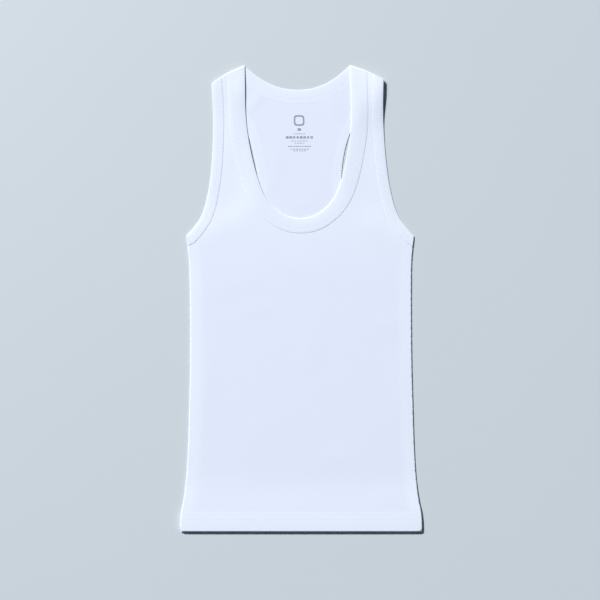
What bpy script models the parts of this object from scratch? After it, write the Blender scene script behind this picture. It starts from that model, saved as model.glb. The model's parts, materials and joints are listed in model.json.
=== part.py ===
"""A ribbed racerback tank top, laid flat on its back.

The garment lies in the XY plane with its hem towards -Y and its neck towards +Y. The back
panel rests on the floor at Z = 0 and the front panel lies on the back panel. Where the racer
back is cut away, the front straps drape down to the floor. Every opening is bound with a
folded rib band that stands a little proud of its panel, and both hems are turned up inside.

The pieces are drawn as a flat cut in millimetres: `half` is measured from the centre line and
`level` from the hem. `laid` then places the cut on the floor, in metres.
"""

from collections import namedtuple

import bpy
import numpy as np
from mathutils import Vector
from mathutils.geometry import delaunay_2d_cdt

# Driving sizes, in millimetres.
LENGTH = 600.6  # hem to high point of the shoulder
NECK_HALF = 67.9  # centre line to the high point of the shoulder
STRAP_END = 111.0  # centre line to the outer end of the shoulder
DROP_LEFT = 23.9  # how far the left shoulder slopes down, as laid
DROP_RIGHT = 18.1
SHOULDER_CURVE = 1.3  # 1 would be a straight shoulder
BACK_NECK_LEVEL = 569.6
BACK_NECK_CURVE = 2.2
UNDERARM_SEAM = 367.5  # level where the armhole bands' seams meet the side seams
UNDERARM_EDGE = 380.7  # level where the bands' folded edges meet there
LEAN = 5.4  # how far the shoulders lie off the hem's centre line
CLOTH = 1.2  # one layer of rib
BAND = 2.0  # a binding, folded over the edge
GAP = 0.3  # between pieces, where they meet
ARMHOLE_BAND = 13.4
NECK_BAND = 19.0  # stretched round the scoop
NECK_BAND_EASE = 2.2  # how much wider the band is on the straps
BACK_NECK_BAND = 18.4
HEM = 24.0  # depth of the turned-up hem
MM = 0.001

# How the upper layer settles over the lower one, in millimetres.
EDGE_HOLD = 5.0  # it stays up this far past the lower layer's edge
EDGE_FALL = 12.0  # and reaches the floor over this distance
BAND_HOLD = 6.0  # past a lower band's seam
HEM_HOLD = 4.0
HEM_FALL = 18.0
HEM_STEP = 0.4  # the inner edge of a turned-up hem takes this much level

# Spacing of the facets, in millimetres.
FRONT_BAND_STEP = 6.0
BACK_BAND_STEP = 8.0
SIDE_STEP = 30.0
BODY_GRID = 26.0
CHEST_GRID = 9.0
CHEST_LEVEL = 340.0

Station = namedtuple("Station", "half level")
Layer = namedtuple("Layer", "across height")

# The side seam, from the hem to the underarm.
SIDE = (
    Station(155.5, 0),
    Station(155.5, 14),
    Station(154.2, 27),
    Station(151.5, 40),
    Station(148.4, 65),
    Station(145.8, 104),
    Station(143.8, 168),
    Station(142.5, 233),
    Station(142.5, 310),
    Station(143.4, 349),
    Station(145.2, UNDERARM_SEAM),
    Station(146.6, UNDERARM_EDGE),
)

# The seam of the front neck band, from the middle of the scoop to the shoulder.
FRONT_NECK_SEAM = (
    Station(0, 384.3),
    Station(25, 389.1),
    Station(47, 403.4),
    Station(61.8, 421.1),
    Station(70.7, 439.1),
    Station(78.2, 463),
    Station(84.4, 492.3),
    Station(88, 518),
    Station(89.4, 541),
    Station(89.4, 567),
    Station(88.9, 602),
)

# The edge of the front armhole, from the underarm to the shoulder.
FRONT_ARMHOLE = (
    Station(146.6, UNDERARM_EDGE),
    Station(142.3, 385.6),
    Station(135.9, 393),
    Station(128.6, 403.5),
    Station(123.2, 416.2),
    Station(119.1, 431.6),
    Station(114.8, 454.9),
    Station(111.6, 485.8),
    Station(110, 516.8),
    Station(109.6, 541),
    Station(110.2, 565),
    Station(111.6, 592),
)

# The edge of the racer back's armhole, from the underarm to the shoulder.
BACK_ARMHOLE = (
    Station(146.6, UNDERARM_EDGE),
    Station(122, 383.4),
    Station(98, 390),
    Station(77, 402.5),
    Station(62, 420),
    Station(54.6, 441),
    Station(54.6, 464),
    Station(58.8, 490),
    Station(67, 515),
    Station(80, 539),
    Station(96, 561),
    Station(118, 588),
)

# A band's cross-section: a share of its width from the folded edge, and of its thickness.
BAND_TOP = (
    Layer(0.0, 0.35),
    Layer(0.05, 0.82),
    Layer(0.15, 1.0),
    Layer(0.94, 1.0),
    Layer(1.0, 0.85),
)
FRONT_BAND_UNDER = (1.0, 0.67, 0.33, 0.0)
BACK_BAND_UNDER = (1.0, 0.0)

WHITE_RIB = (0.80, 0.85, 0.93, 1.0)
WHITE_BAND = (0.82, 0.87, 0.95, 1.0)


# ---------------------------------------------------------------- paths in the cut

def lengths_along(path):
    steps = np.linalg.norm(np.diff(path, axis=0), axis=1)
    return np.concatenate([[0.0], np.cumsum(steps)])


def counted(path, count):
    """The path again, with `count` points evenly along it."""
    along = lengths_along(path)
    at = np.linspace(0.0, along[-1], count)
    return np.stack([np.interp(at, along, path[:, k]) for k in (0, 1)], axis=1)


def smooth(stations, per_span=24):
    """A Catmull-Rom curve through the stations."""
    points = np.array(stations, float)
    first = 2 * points[0] - points[1]
    last = 2 * points[-1] - points[-2]
    knots = np.vstack([first, points, last])
    share = np.linspace(0.0, 1.0, per_span, endpoint=False)[:, None]
    spans = []
    for a, b, c, d in zip(knots, knots[1:], knots[2:], knots[3:]):
        cubic = 3 * b - a - 3 * c + d
        square = 2 * a - 5 * b + 4 * c - d
        spans.append(0.5 * (2 * b + (c - a) * share + square * share**2 + cubic * share**3))
    return np.vstack(spans + [points[-1:]])


def moved(path, distance):
    """The path moved sideways, to the left of its direction."""
    ahead = np.gradient(path, axis=0)
    ahead /= np.linalg.norm(ahead, axis=1)[:, None]
    left = np.stack([-ahead[:, 1], ahead[:, 0]], axis=1)
    return path + left * np.reshape(distance, (-1, 1))


def mirrored(path):
    """The path on the other side of the centre line, run the other way."""
    return path[::-1] * (-1.0, 1.0)


def shoulder_level(half, drop):
    out = np.clip((np.abs(half) - NECK_HALF) / (STRAP_END - NECK_HALF), 0.0, 2.0)
    return LENGTH - drop * out**SHOULDER_CURVE


def up_to_shoulder(path, drop):
    """The path, which climbs, cut off where it crosses the shoulder line."""
    over = path[:, 1] - shoulder_level(path[:, 0], drop)
    last = int(np.argmax(over > 0))
    share = over[last - 1] / (over[last - 1] - over[last])
    crossing = path[last - 1] + share * (path[last] - path[last - 1])
    return np.vstack([path[:last], crossing])


def ease(share):
    """0 below 0, 1 above 1, and an S-shaped rise between."""
    share = np.clip(share, 0.0, 1.0)
    return share * share * (3 - 2 * share)


# ---------------------------------------------------------------- distances

def distance_to(points, path):
    """How far each point is from the path."""
    start, run = path[:-1], np.diff(path, axis=0)
    size = np.maximum((run**2).sum(axis=1), 1e-12)
    share = ((points[:, None] - start) * run).sum(axis=2) / size
    nearest = start + np.clip(share, 0.0, 1.0)[:, :, None] * run
    return np.linalg.norm(points[:, None] - nearest, axis=2).min(axis=1)


def is_inside(points, outline):
    """Whether each point is inside the closed outline."""
    after = np.roll(outline, -1, axis=0)
    x, y = points[:, 0][:, None], points[:, 1][:, None]
    spans = (outline[:, 1] > y) != (after[:, 1] > y)
    rise = after[:, 1] - outline[:, 1]
    rise = np.where(np.abs(rise) < 1e-12, 1e-12, rise)
    cross = outline[:, 0] + (y - outline[:, 1]) * (after[:, 0] - outline[:, 0]) / rise
    return (spans & (x < cross)).sum(axis=1) % 2 == 1


# ---------------------------------------------------------------- the cut

def side_half(level):
    side = smooth(SIDE)
    return np.interp(level, side[:, 1], side[:, 0])


def side_path(top):
    """The right side seam, from the hem to the given level."""
    hem_levels = (0.0, HEM / 2, HEM, HEM + HEM_STEP, HEM + HEM_HOLD, HEM + HEM_FALL)
    rest = np.linspace(HEM + HEM_FALL + 8, top, round((top - HEM) / SIDE_STEP) + 1)
    levels = np.concatenate([hem_levels, rest])
    return np.stack([side_half(levels), levels], axis=1)


def armhole_pair(stations, drop, step):
    """The edge and the seam of a right armhole band, from the underarm to the shoulder."""
    edge = smooth(stations)
    seam = moved(edge, ARMHOLE_BAND)
    reached = seam[:, 0] < side_half(UNDERARM_SEAM) - 4.0
    start = [[side_half(UNDERARM_SEAM), UNDERARM_SEAM]]
    seam = np.vstack([start, seam[reached]])
    edge = up_to_shoulder(edge, drop)
    seam = up_to_shoulder(seam, drop)
    count = round(lengths_along(edge)[-1] / step) + 1
    return counted(edge, count), counted(seam, count)


def neck_pair_half(seam, width, drop):
    """The edge and the seam of the right half of a neck band, from the centre line."""
    edge = moved(seam, width)
    edge[0, 0] = 0.0
    return up_to_shoulder(edge, drop), up_to_shoulder(seam, drop)


def neck_pair(seam, width):
    """The edge and the seam of a whole neck band, from the left shoulder to the right."""
    edge_right, seam_right = neck_pair_half(seam, width, DROP_RIGHT)
    edge_left, seam_left = neck_pair_half(seam, width, DROP_LEFT)
    edge = np.vstack([mirrored(edge_left), edge_right[1:]])
    seam = np.vstack([mirrored(seam_left), seam_right[1:]])
    count = round(lengths_along(seam)[-1] / FRONT_BAND_STEP) + 1
    return counted(edge, count), counted(seam, count)


def front_neck():
    seam = smooth(FRONT_NECK_SEAM)
    rise = (seam[:, 1] - seam[0, 1]) / 80.0
    return neck_pair(seam, NECK_BAND + NECK_BAND_EASE * ease(rise))


def back_neck():
    """The back neck dips in one even curve between the shoulder points."""
    half = np.linspace(0.0, NECK_HALF, 40)
    dip = (half / NECK_HALF) ** BACK_NECK_CURVE
    edge = np.stack([half, BACK_NECK_LEVEL + (LENGTH - BACK_NECK_LEVEL) * dip], axis=1)
    seam = moved(edge, -BACK_NECK_BAND)
    seam[0, 0] = 0.0
    slope = seam[-1] - seam[-2]
    seam = np.vstack([seam, seam[-1] + slope * np.arange(1, 12)[:, None]])
    halves = []
    for drop in (DROP_LEFT, DROP_RIGHT):
        halves.append(up_to_shoulder(seam, drop))
    whole_seam = np.vstack([mirrored(halves[0]), halves[1][1:]])
    whole_edge = np.vstack([mirrored(edge), edge[1:]])
    count = round(lengths_along(whole_seam)[-1] / BACK_BAND_STEP) + 1
    return counted(whole_edge, count), counted(whole_seam, count)


def shoulder_path(start, end, drop):
    """Points along the shoulder line, between two of its points."""
    half = np.linspace(start[0], end[0], 4)[1:-1]
    return np.stack([half, shoulder_level(half, drop)], axis=1)


def panel_outline(neck, armhole_left, armhole_right, shy):
    """A panel's closed outline, `shy` of its bands' seams, counter-clockwise."""
    neck = moved(neck, -shy)
    right = moved(armhole_right, shy)
    left = moved(armhole_left, shy)
    side = side_path(UNDERARM_SEAM - shy)
    hem_half = np.linspace(-side[0, 0], side[0, 0], 13)[1:-1]
    hem = np.stack([hem_half, np.zeros_like(hem_half)], axis=1)
    right[0] = side[-1]
    left[0] = side[-1]
    parts = [
        hem,
        side[:-1],
        right,
        shoulder_path(right[-1], neck[-1], DROP_RIGHT),
        neck[::-1],
        shoulder_path(neck[0], mirrored(left)[0], DROP_LEFT),
        mirrored(left),
        mirrored(side[:-1]),
    ]
    return np.vstack(parts)


def garment_outline(neck_edge, edge_left, edge_right):
    """A whole layer's outline, with its bands."""
    return panel_outline(neck_edge, edge_left, edge_right, 0.0)


# ---------------------------------------------------------------- heights

def hem_hold(level):
    return 1.0 - ease((level - HEM - HEM_HOLD) / (HEM_FALL - HEM_HOLD))


class LowerLayer:
    """The back, as what the front settles on."""

    def __init__(self, outline, banded_edges):
        self.outline = outline
        self.closed = np.vstack([outline, outline[:1]])
        self.banded_edges = banded_edges

    def cover(self, points):
        """1 over the back, falling to 0 on the floor beyond its edge."""
        out = distance_to(points, self.closed)
        out = np.where(is_inside(points, self.outline), 0.0, out)
        return 1.0 - ease((out - EDGE_HOLD) / EDGE_FALL)

    def top(self, points):
        """The height on which the front lies."""
        near = np.min([distance_to(points, e) for e in self.banded_edges], axis=0)
        widest = max(ARMHOLE_BAND, BACK_NECK_BAND)
        on_band = 1.0 - ease((near - widest - BAND_HOLD) / EDGE_FALL)
        height = CLOTH + (BAND - CLOTH) * on_band + CLOTH * hem_hold(points[:, 1])
        return self.cover(points) * (height + GAP)


# ---------------------------------------------------------------- solids

def laid(points, heights):
    """Points of the cut, placed on the floor, in metres."""
    lean = -LEAN * (points[:, 1] / LENGTH) ** 3
    x = points[:, 0] + lean
    y = points[:, 1] - LENGTH / 2
    return [Vector(p) * MM for p in zip(x, y, heights)]


def rib_material(name, colour):
    material = bpy.data.materials.new(name)
    material.use_nodes = True
    shader = material.node_tree.nodes["Principled BSDF"]
    shader.inputs["Base Color"].default_value = colour
    shader.inputs["Roughness"].default_value = 0.9
    shader.inputs["Metallic"].default_value = 0.0
    return material


def add_object(name, vertices, faces, colour):
    mesh = bpy.data.meshes.new(name)
    mesh.from_pydata(vertices, [], faces)
    mesh.validate()
    mesh.materials.append(rib_material(name + "_rib", colour))
    piece = bpy.data.objects.new(name, mesh)
    bpy.context.collection.objects.link(piece)
    return piece


def grid_in(outline, low, high, spacing):
    """Points of a staggered grid inside the outline, clear of its edge."""
    rows = np.arange(low, high, spacing * 0.87)
    found = []
    for number, level in enumerate(rows):
        shift = spacing / 2 * (number % 2)
        half = np.arange(-LENGTH, LENGTH, spacing) + shift
        found.append(np.stack([half, np.full_like(half, level)], axis=1))
    points = np.vstack(found)
    points = points[np.abs(points[:, 0]) < 160.0]
    points = points[is_inside(points, outline)]
    edge = np.vstack([outline, outline[:1]])
    return points[distance_to(points, edge) > spacing * 0.55]


def hem_rows():
    """Points across the panel at the levels where its hem changes thickness."""
    half = np.linspace(-132.0, 132.0, 11)
    levels = (HEM / 2, HEM, HEM + HEM_STEP, HEM + HEM_HOLD, HEM + HEM_FALL)
    return np.vstack([np.stack([half, np.full_like(half, level)], axis=1) for level in levels])


def panel_solid(name, outline, inner, under, over):
    """A panel between two height functions of its points."""
    flat = np.vstack([outline, inner])
    count = len(outline)
    edges = [(i, (i + 1) % count) for i in range(count)]
    found = delaunay_2d_cdt([Vector(p) for p in flat], edges, [], 1, 1e-6)
    points = np.array([tuple(v) for v in found[0]])
    triangles = [tuple(t) for t in found[2]]
    total = len(points)
    vertices = laid(points, under(points)) + laid(points, over(points))
    sides = {}
    for a, b, c in triangles:
        for start, end in ((a, b), (b, c), (c, a)):
            if (end, start) in sides:
                del sides[end, start]
            else:
                sides[start, end] = True
    faces = [(c, b, a) for a, b, c in triangles]
    faces += [(a + total, b + total, c + total) for a, b, c in triangles]
    faces += [(a, b, b + total, a + total) for a, b in sides]
    return add_object(name, vertices, faces, WHITE_RIB)


def band_solid(name, edge, seam, under, under_shares):
    """A folded binding between its edge and its seam, closed at both ends."""
    rings = []
    for share in under_shares:
        points = edge + (seam - edge) * share
        rings.append(laid(points, under(points)))
    for layer in BAND_TOP:
        points = edge + (seam - edge) * layer.across
        rings.append(laid(points, under(points) + BAND * layer.height))
    stations, around = len(edge), len(rings)
    vertices = [rings[k][i] for i in range(stations) for k in range(around)]
    faces = []
    for i in range(stations - 1):
        for k in range(around):
            a = i * around + k
            b = i * around + (k + 1) % around
            faces.append((a, a + around, b + around, b))
    faces.append(tuple(range(around)))
    faces.append(tuple(reversed(range((stations - 1) * around, stations * around))))
    return add_object(name, vertices, faces, WHITE_BAND)


def face_outwards(piece):
    """Turns the solid's faces outwards if it is inside out."""
    mesh = piece.data
    volume = 0.0
    mesh.calc_loop_triangles()
    for triangle in mesh.loop_triangles:
        a, b, c = (mesh.vertices[i].co for i in triangle.vertices)
        volume += a.dot(b.cross(c))
    if volume < 0:
        mesh.flip_normals()


def floor_height(points):
    return np.zeros(len(points))


def hem_layers(points):
    """How thick the back is at each point: its turned-up hem is double."""
    return np.where(points[:, 1] <= HEM + HEM_STEP / 2, 2 * CLOTH, CLOTH)


def build_back():
    """The racer back and its bands, flat on the floor. Returns what the front lies on."""
    neck_edge, neck_seam = back_neck()
    left_edge, left_seam = armhole_pair(BACK_ARMHOLE, DROP_LEFT, BACK_BAND_STEP)
    right_edge, right_seam = armhole_pair(BACK_ARMHOLE, DROP_RIGHT, BACK_BAND_STEP)
    outline = panel_outline(neck_seam, left_seam, right_seam, GAP)
    bands = (
        ("back_neck_band", neck_edge, neck_seam),
        ("back_armhole_band_right", right_edge, right_seam),
        ("back_armhole_band_left", mirrored(left_edge), mirrored(left_seam)),
    )
    solids = [panel_solid("back_panel", outline, hem_rows(), floor_height, hem_layers)]
    for name, edge, seam in bands:
        solids.append(band_solid(name, edge, seam, floor_height, BACK_BAND_UNDER))
    whole = garment_outline(neck_edge, left_edge, right_edge)
    lower = LowerLayer(whole, [neck_edge, right_edge, mirrored(left_edge)])
    return solids, lower


def build_front(lower):
    """The front and its bands, settled on the back."""
    neck_edge, neck_seam = front_neck()
    left_edge, left_seam = armhole_pair(FRONT_ARMHOLE, DROP_LEFT, FRONT_BAND_STEP)
    right_edge, right_seam = armhole_pair(FRONT_ARMHOLE, DROP_RIGHT, FRONT_BAND_STEP)
    outline = panel_outline(neck_seam, left_seam, right_seam, GAP)
    inner = np.vstack([
        hem_rows(),
        grid_in(outline, HEM + HEM_FALL + BODY_GRID, CHEST_LEVEL, BODY_GRID),
        grid_in(outline, CHEST_LEVEL, LENGTH, CHEST_GRID),
    ])

    def over(points):
        raised = CLOTH * hem_hold(points[:, 1])
        return lower.top(points) + raised + CLOTH

    def under(points):
        in_hem = points[:, 1] <= HEM + HEM_STEP / 2
        return over(points) - np.where(in_hem, 2 * CLOTH, CLOTH)

    bands = (
        ("front_neck_band", neck_edge, neck_seam),
        ("front_armhole_band_right", right_edge, right_seam),
        ("front_armhole_band_left", mirrored(left_edge), mirrored(left_seam)),
    )
    solids = [panel_solid("front_panel", outline, inner, under, over)]
    for name, edge, seam in bands:
        solids.append(band_solid(name, edge, seam, lower.top, FRONT_BAND_UNDER))
    return solids


def main():
    for old in list(bpy.data.objects):
        bpy.data.objects.remove(old)
    back, lower = build_back()
    front = build_front(lower)
    for piece in back + front:
        face_outwards(piece)


main()
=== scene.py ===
"""A ribbed racer back tank top, laid flat on its back on a pale floor.

Each piece of cloth is a thin shell on the form of its CAD solid. The cut is drawn flat, in
millimetres: `half` is measured from the centre line and `level` from the hem. `laid` places it
in metres in the frame's own axes: hem towards -Y, neck towards +Y, floor at Z = 0.
"""

import json
from collections import namedtuple
from functools import lru_cache

import bmesh
import bpy
import numpy as np
from bpy.props import FloatProperty, FloatVectorProperty, PointerProperty
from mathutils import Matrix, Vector
from mathutils.geometry import delaunay_2d_cdt

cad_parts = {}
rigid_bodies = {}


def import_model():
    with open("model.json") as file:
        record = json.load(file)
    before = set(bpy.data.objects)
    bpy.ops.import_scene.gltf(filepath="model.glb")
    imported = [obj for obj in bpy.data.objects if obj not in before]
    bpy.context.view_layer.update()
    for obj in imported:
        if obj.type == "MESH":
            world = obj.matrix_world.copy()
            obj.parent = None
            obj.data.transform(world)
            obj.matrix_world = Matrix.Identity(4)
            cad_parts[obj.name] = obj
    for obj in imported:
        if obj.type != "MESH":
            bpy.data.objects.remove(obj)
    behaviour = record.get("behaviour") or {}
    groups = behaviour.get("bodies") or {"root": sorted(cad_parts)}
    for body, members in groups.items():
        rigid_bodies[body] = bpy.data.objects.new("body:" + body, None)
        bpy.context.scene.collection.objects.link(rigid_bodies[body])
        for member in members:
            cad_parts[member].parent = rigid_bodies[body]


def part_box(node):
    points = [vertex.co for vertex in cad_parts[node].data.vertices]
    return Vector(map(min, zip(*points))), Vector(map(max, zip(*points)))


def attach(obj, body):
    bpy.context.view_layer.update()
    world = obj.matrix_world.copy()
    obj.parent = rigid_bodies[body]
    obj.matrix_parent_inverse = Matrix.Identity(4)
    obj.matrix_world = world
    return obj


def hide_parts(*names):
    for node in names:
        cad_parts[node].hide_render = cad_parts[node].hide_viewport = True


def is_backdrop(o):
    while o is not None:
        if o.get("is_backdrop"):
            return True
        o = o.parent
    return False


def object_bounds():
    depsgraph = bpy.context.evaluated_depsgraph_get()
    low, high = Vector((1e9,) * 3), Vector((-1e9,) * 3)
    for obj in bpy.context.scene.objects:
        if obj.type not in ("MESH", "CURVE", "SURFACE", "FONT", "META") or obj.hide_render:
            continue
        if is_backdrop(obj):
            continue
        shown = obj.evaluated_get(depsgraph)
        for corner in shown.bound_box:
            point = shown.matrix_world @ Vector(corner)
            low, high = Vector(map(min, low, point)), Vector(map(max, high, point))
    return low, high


bl_info = {
    "name": "Laid tank top",
    "version": (1, 0, 0),
    "blender": (4, 5, 0),
    "location": "View3D > Sidebar > Tank top",
    "description": "Builds a ribbed racer back tank top, laid flat, and its stage",
    "category": "Add Mesh",
}

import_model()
CAD_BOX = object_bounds()
MM = 0.001

# ---------------------------------------------------------------- the cut, in millimetres

LENGTH = -2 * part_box("front_panel")[0].y / MM
HEM_HALF = (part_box("front_panel")[1].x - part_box("front_panel")[0].x) / 2 / MM
NECK_HALF = 67.9
STRAP_END = 111.0
DROP_LEFT = 23.9
DROP_RIGHT = 18.1
SHOULDER_CURVE = 1.3
BACK_NECK_LEVEL = 569.0
BACK_NECK_CURVE = 2.2
UNDERARM_SEAM = 367.5
UNDERARM_EDGE = 380.7
LEAN = 5.4  # how far the shoulders lie to the left
ARMHOLE_BAND = 13.4
NECK_BAND = 19.0  # at the bottom of the scoop
NECK_BAND_EASE = 2.2  # how much wider the binding is further up
NECK_BAND_RISE = 80.0  # and over what rise it widens
NECK_ASIDE = 0.5  # how far the front neck lies to the right
BACK_NECK_BAND = 17.5
HEM = 24.0
UNDERARM_RUN = 4.0  # an armhole's seam runs straight over this much beside the side seam

CLOTH = 0.72  # one layer of rib
BAND = 1.04  # a binding where it is thickest, beside its seam
BACK_BAND = 0.86  # the back's bindings, pressed flat by what lies on them
HEM_LAYER = 0.85  # what a turned-up hem adds
REST_GAP = 0.12  # air under the upper layer
FLOOR_GAP = 0.14  # room for the ribs and the thread of the outer face
SEAM_GAP = 0.02  # between a panel and its binding
FOLD_ROUND = 0.55  # reach of the soft fold at the sides, the hem and the shoulders
FOLD_SHARE = 0.75  # how much of its thickness the cloth loses there
SEAM_DIP = 0.02  # how deep the needles pull a panel down beside a binding
INNER_DIP = 0.01  # and on the back's inner face
SEAM_REACH = 1.9  # how far from the seam that dip fades
GROOVE_POWER = 0.8  # the lower it is, the narrower the grooves between the ribs

Station = namedtuple("Station", "half level")
Ridge = namedtuple("Ridge", "half level turn length width height")
Lift = namedtuple("Lift", "half level reach_half reach_level height")
Rim = namedtuple("Rim", "from_seam height rib")
Mark = namedtuple("Mark", "level width height count")

# The side seam, from the hem to the underarm.
SIDE = (
    Station(HEM_HALF, 0),
    Station(HEM_HALF, 14),
    Station(154.2, 27),
    Station(151.5, 40),
    Station(148.4, 65),
    Station(145.8, 104),
    Station(143.8, 168),
    Station(142.5, 233),
    Station(142.5, 310),
    Station(143.4, 349),
    Station(145.2, UNDERARM_SEAM),
    Station(146.6, UNDERARM_EDGE),
)

# The seam of the front neck band, from the middle of the scoop to the shoulder.
FRONT_NECK_SEAM = (
    Station(0, 384.3),
    Station(25, 389.1),
    Station(47, 403.4),
    Station(61.8, 421.1),
    Station(70.7, 439.1),
    Station(78.2, 463),
    Station(84.4, 492.3),
    Station(88, 518),
    Station(89.4, 541),
    Station(89.4, 567),
    Station(88.9, 602),
)

# The edge of the front armhole, from the underarm to the shoulder.
FRONT_ARMHOLE = (
    Station(146.6, UNDERARM_EDGE),
    Station(142.3, 385.6),
    Station(135.9, 393),
    Station(128.6, 403.5),
    Station(123.2, 416.2),
    Station(119.1, 431.6),
    Station(114.8, 454.9),
    Station(111.6, 485.8),
    Station(110, 516.8),
    Station(109.6, 541),
    Station(110.2, 565),
    Station(111.6, 592),
)

# The edge of the racer back's armhole, from the underarm to the shoulder.
BACK_ARMHOLE = (
    Station(146.6, UNDERARM_EDGE),
    Station(122, 383.4),
    Station(98, 390),
    Station(77, 402.5),
    Station(62, 420),
    Station(54.9, 441),
    Station(54.9, 464),
    Station(59.1, 490),
    Station(67.2, 515),
    Station(80, 539),
    Station(96, 561),
    Station(118, 588),
)

# The face of a binding from its seam: where, what share of its thickness, how deep its ribs.
# Its two needle rows sink into it.
NEEDLE_ROWS = (1.0, 6.4)
BAND_FACE = (
    Rim(0.0, 0.88, 0.3),
    Rim(0.4, 0.905, 0.6),
    Rim(NEEDLE_ROWS[0], 0.925, 0.6),
    Rim(1.9, 0.965, 0.9),
    Rim(2.9, 0.99, 1.0),
    Rim(4.2, 1.00, 1.0),
    Rim(5.7, 0.99, 0.9),
    Rim(NEEDLE_ROWS[1], 0.945, 0.6),
    Rim(7.1, 0.985, 0.9),
    Rim(8.0, 0.985, 1.0),
)
# The inner face of the back's bindings is nearly flush with the panel.
INNER_FACE = (
    Rim(0.0, 0.835, 0.1),
    Rim(0.4, 0.835, 0.3),
    Rim(NEEDLE_ROWS[0], 0.83, 0.3),
    Rim(2.0, 0.84, 0.5),
    Rim(4.2, 0.845, 0.6),
    Rim(5.8, 0.845, 0.6),
    Rim(NEEDLE_ROWS[1], 0.835, 0.3),
    Rim(8.2, 0.845, 0.8),
)
HIDDEN_FACE = (Rim(0.0, 0.9, 0.0), Rim(8.0, 1.0, 0.0))
# Past its last rim a face thins towards the fold, over shares of the width that is left.
Crown = namedtuple("Crown", "share height")
BAND_CROWN = (Crown(0.3, 0.96), Crown(0.65, 0.88), Crown(1.0, 0.76))
UNDER_SHARE = 0.3  # the underside lies flatter than the top
BAND_FOLD = (60, 30, 0, -30, -60)  # degrees round the folded edge
BAND_FOLD_REACH = 0.5
BAND_FOLD_RIBS = 0.6  # how deep the ribs still are round the fold
FAN = 30.0  # the ribs of a binding fan out over this length to meet a seam
SCALLOP = 0.1  # how far each rib of a binding stands out at its fold

# Soft ridges. `turn` is in degrees from the rib direction.
FRONT_RIDGES = (
    Ridge(-84, 520, 4, 120, 9, 0.26),
    Ridge(79, 541, -3, 54, 8, 0.26),
    Ridge(-104, 404, -38, 62, 14, 0.20),
    Ridge(98, 398, 34, 70, 15, 0.18),
    Ridge(-92, 318, 82, 110, 16, 0.14),
    Ridge(-58, 286, 84, 60, 11, 0.10),
    Ridge(104, 262, 76, 70, 14, 0.13),
    Ridge(12, 236, 12, 84, 15, 0.12),
    Ridge(-122, 186, 8, 150, 15, 0.16),
    Ridge(128, 190, -6, 120, 13, 0.17),
    Ridge(-38, 140, 66, 90, 18, 0.12),
    Ridge(52, 96, 80, 120, 15, 0.13),
    Ridge(-96, 60, 88, 96, 12, 0.13),
    Ridge(112, 44, 84, 60, 11, 0.12),
    Ridge(4, 340, 88, 130, 20, 0.10),
)
BACK_RIDGES = (
    Ridge(-52, 556, 38, 46, 7, 0.20),
    Ridge(44, 548, -30, 40, 8, 0.14),
    Ridge(-30, 470, 10, 90, 12, 0.14),
    Ridge(22, 440, -16, 80, 13, 0.12),
    Ridge(0, 420, 86, 60, 12, 0.10),
)
RIDGE_BOW = 0.12  # how far a ridge bows over its length

# Where both layers stand off the floor, and where the upper one stands off the lower.
RISES = (
    Lift(106, 586, 26, 30, 1.6),
    Lift(-104, 584, 20, 18, 0.4),
    Lift(0, -6, 400, 16, 0.5),
)
LOFTS = (
    Lift(112, 566, 22, 30, 2.1),
    Lift(-70, 570, 14, 21, 0.75),
    Lift(-112, 562, 18, 28, 0.4),
    Lift(70, 566, 14, 26, 0.2),
)

# Heights are worked out on an even lattice over the cut.
LATTICE = 2.0
LATTICE_LOW = (-170.0, -12.0)
LATTICE_COUNT = (171, 313)
DRAPE_SLOPE = 0.045  # the upper layer falls no faster than this off what it lies on
DRAPE_PASSES = 50
SOFTEN_PASSES = 90

# Spacing of the shells' points.
COLUMNS_PER_RIB = 4
ROW_STEP = 4.0
FINE_CLEAR = 0.4  # from an outline to the first fine column
PLAIN_STEP = 9.0  # where a face doesn't show
PLAIN_CLEAR = 3.0
OUTLINE_STEP = 1.4
EDGE_RINGS = (0.08, 0.24, 0.5, 0.9)  # how far in from an open edge each row lies
RING_KEPT = 0.8  # the share of the first ring's gap that every ring keeps to the outline
RING_CLEAR = 0.3
EDGE_SEARCH = 4.0  # how far from an edge its distance is worked out
SEAM_SEARCH = 6.0
FAR = 1000.0  # stands for every longer distance
TINY = 1e-12
OPENING = (105.0, 380.0)  # the back's inner face shows inside this half and above this level
OPENING_CLEAR = 3.0
KNIT_ROW = 0.9  # one row of loops

# Cloth looks whiter where a hem, a seam or another layer lies close behind it.
HEM_FADE = 4.0
SIDE_BACKED = 8.0
SIDE_FADE = 14.0
CHEST_FROM = 300.0  # above this level the front comes to lie on the racer back
CHEST_FADE = 120.0
FRONT_CHEST = 0.7
BACK_CHEST = 0.1

# The print inside the back neck, from its top: a frame, then rows of plain bars.
PRINT_LEVEL = 529.6
PRINT_HALF = 0.9
PRINT_FRAME = (13.8, 2.0)
PRINT_ROWS = (
    Mark(518.0, 4.6, 3.2, 1),
    Mark(512.4, 15.6, 0.8, 5),
    Mark(507.8, 36.0, 3.0, 8),
    Mark(503.2, 22.0, 0.8, 6),
    Mark(500.4, 14.0, 0.8, 4),
    Mark(496.2, 30.0, 1.1, 10),
    Mark(492.6, 25.0, 0.9, 7),
    Mark(490.4, 17.0, 0.8, 5),
)
PRINT_FILL = 0.72  # how much of a row its bars cover
PRINT_LIFT = 0.05
PRINT_UNEVEN = 0.22
BAR_BEAT = 1.7  # how fast the width of the bars varies along a row
BAR_STEP = 0.6
FRAME_POINTS = 56
FRAME_POWER = 4.0

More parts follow.
